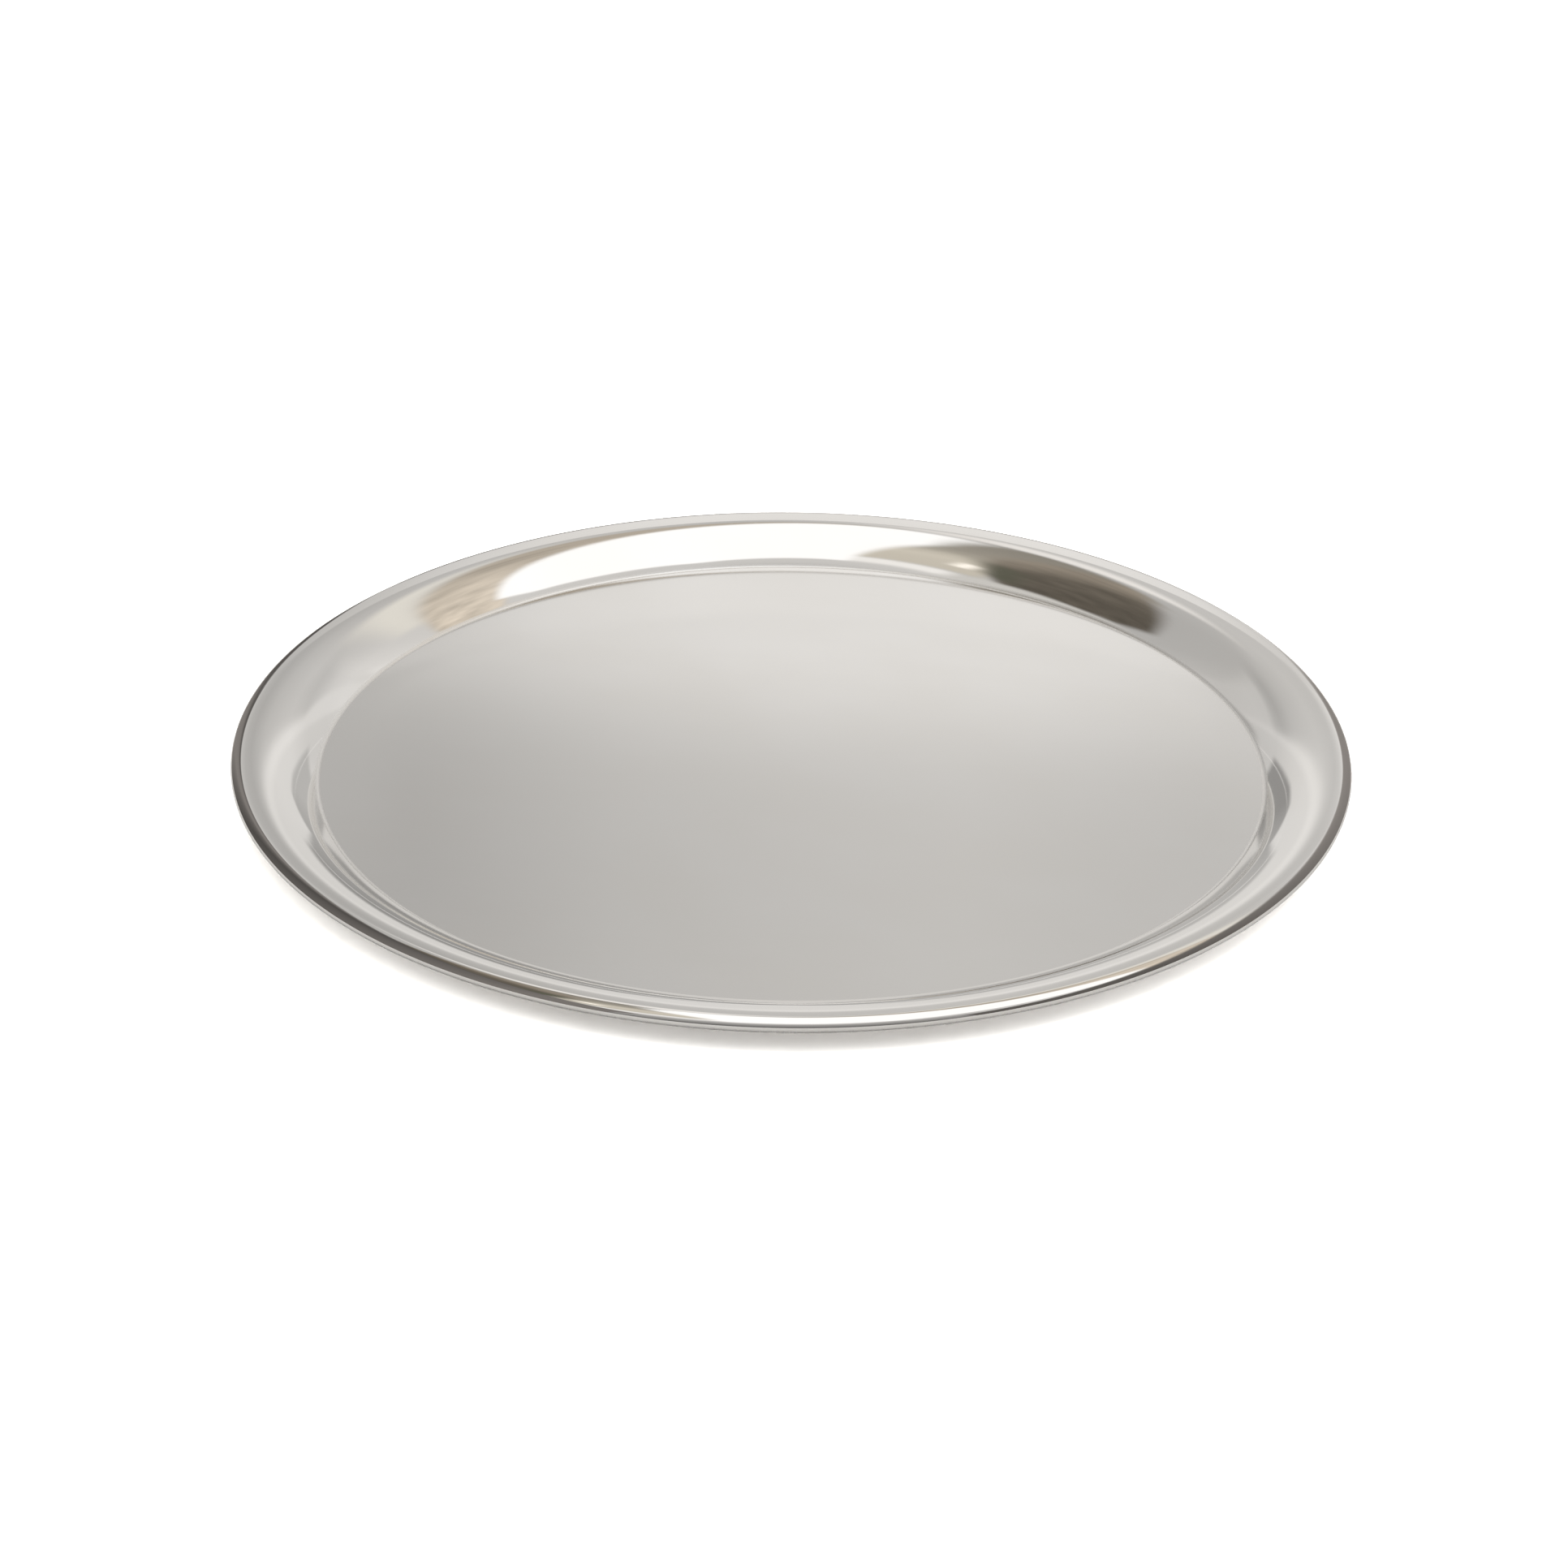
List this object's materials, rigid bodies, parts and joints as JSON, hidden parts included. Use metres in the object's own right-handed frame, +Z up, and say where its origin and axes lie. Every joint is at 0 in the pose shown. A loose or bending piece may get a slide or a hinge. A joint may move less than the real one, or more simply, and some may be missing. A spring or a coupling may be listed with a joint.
{
  "type": "waiter tray",
  "caption": "Round stainless steel waiter tray with a flat satin floor, a raised polished flange and a rolled edge curled over a wire, for carrying glasses and plates.",
  "frame": {"origin": "centre of the floor's underside, the face that the tray stands on", "axes": "+Z up along the tray's axis of revolution, out of the open side; X and Y lie in the floor"},
  "size_m": [0.4, 0.4, 0.0124],
  "materials": {
    "pan_steel": "satin floor, polished flange and rolled edge",
    "wire_steel": "drawn wire"
  },
  "bodies": {
    "root": {"tray_pan": "pan_steel", "rim_wire": "wire_steel"}
  },
  "joints": []
}
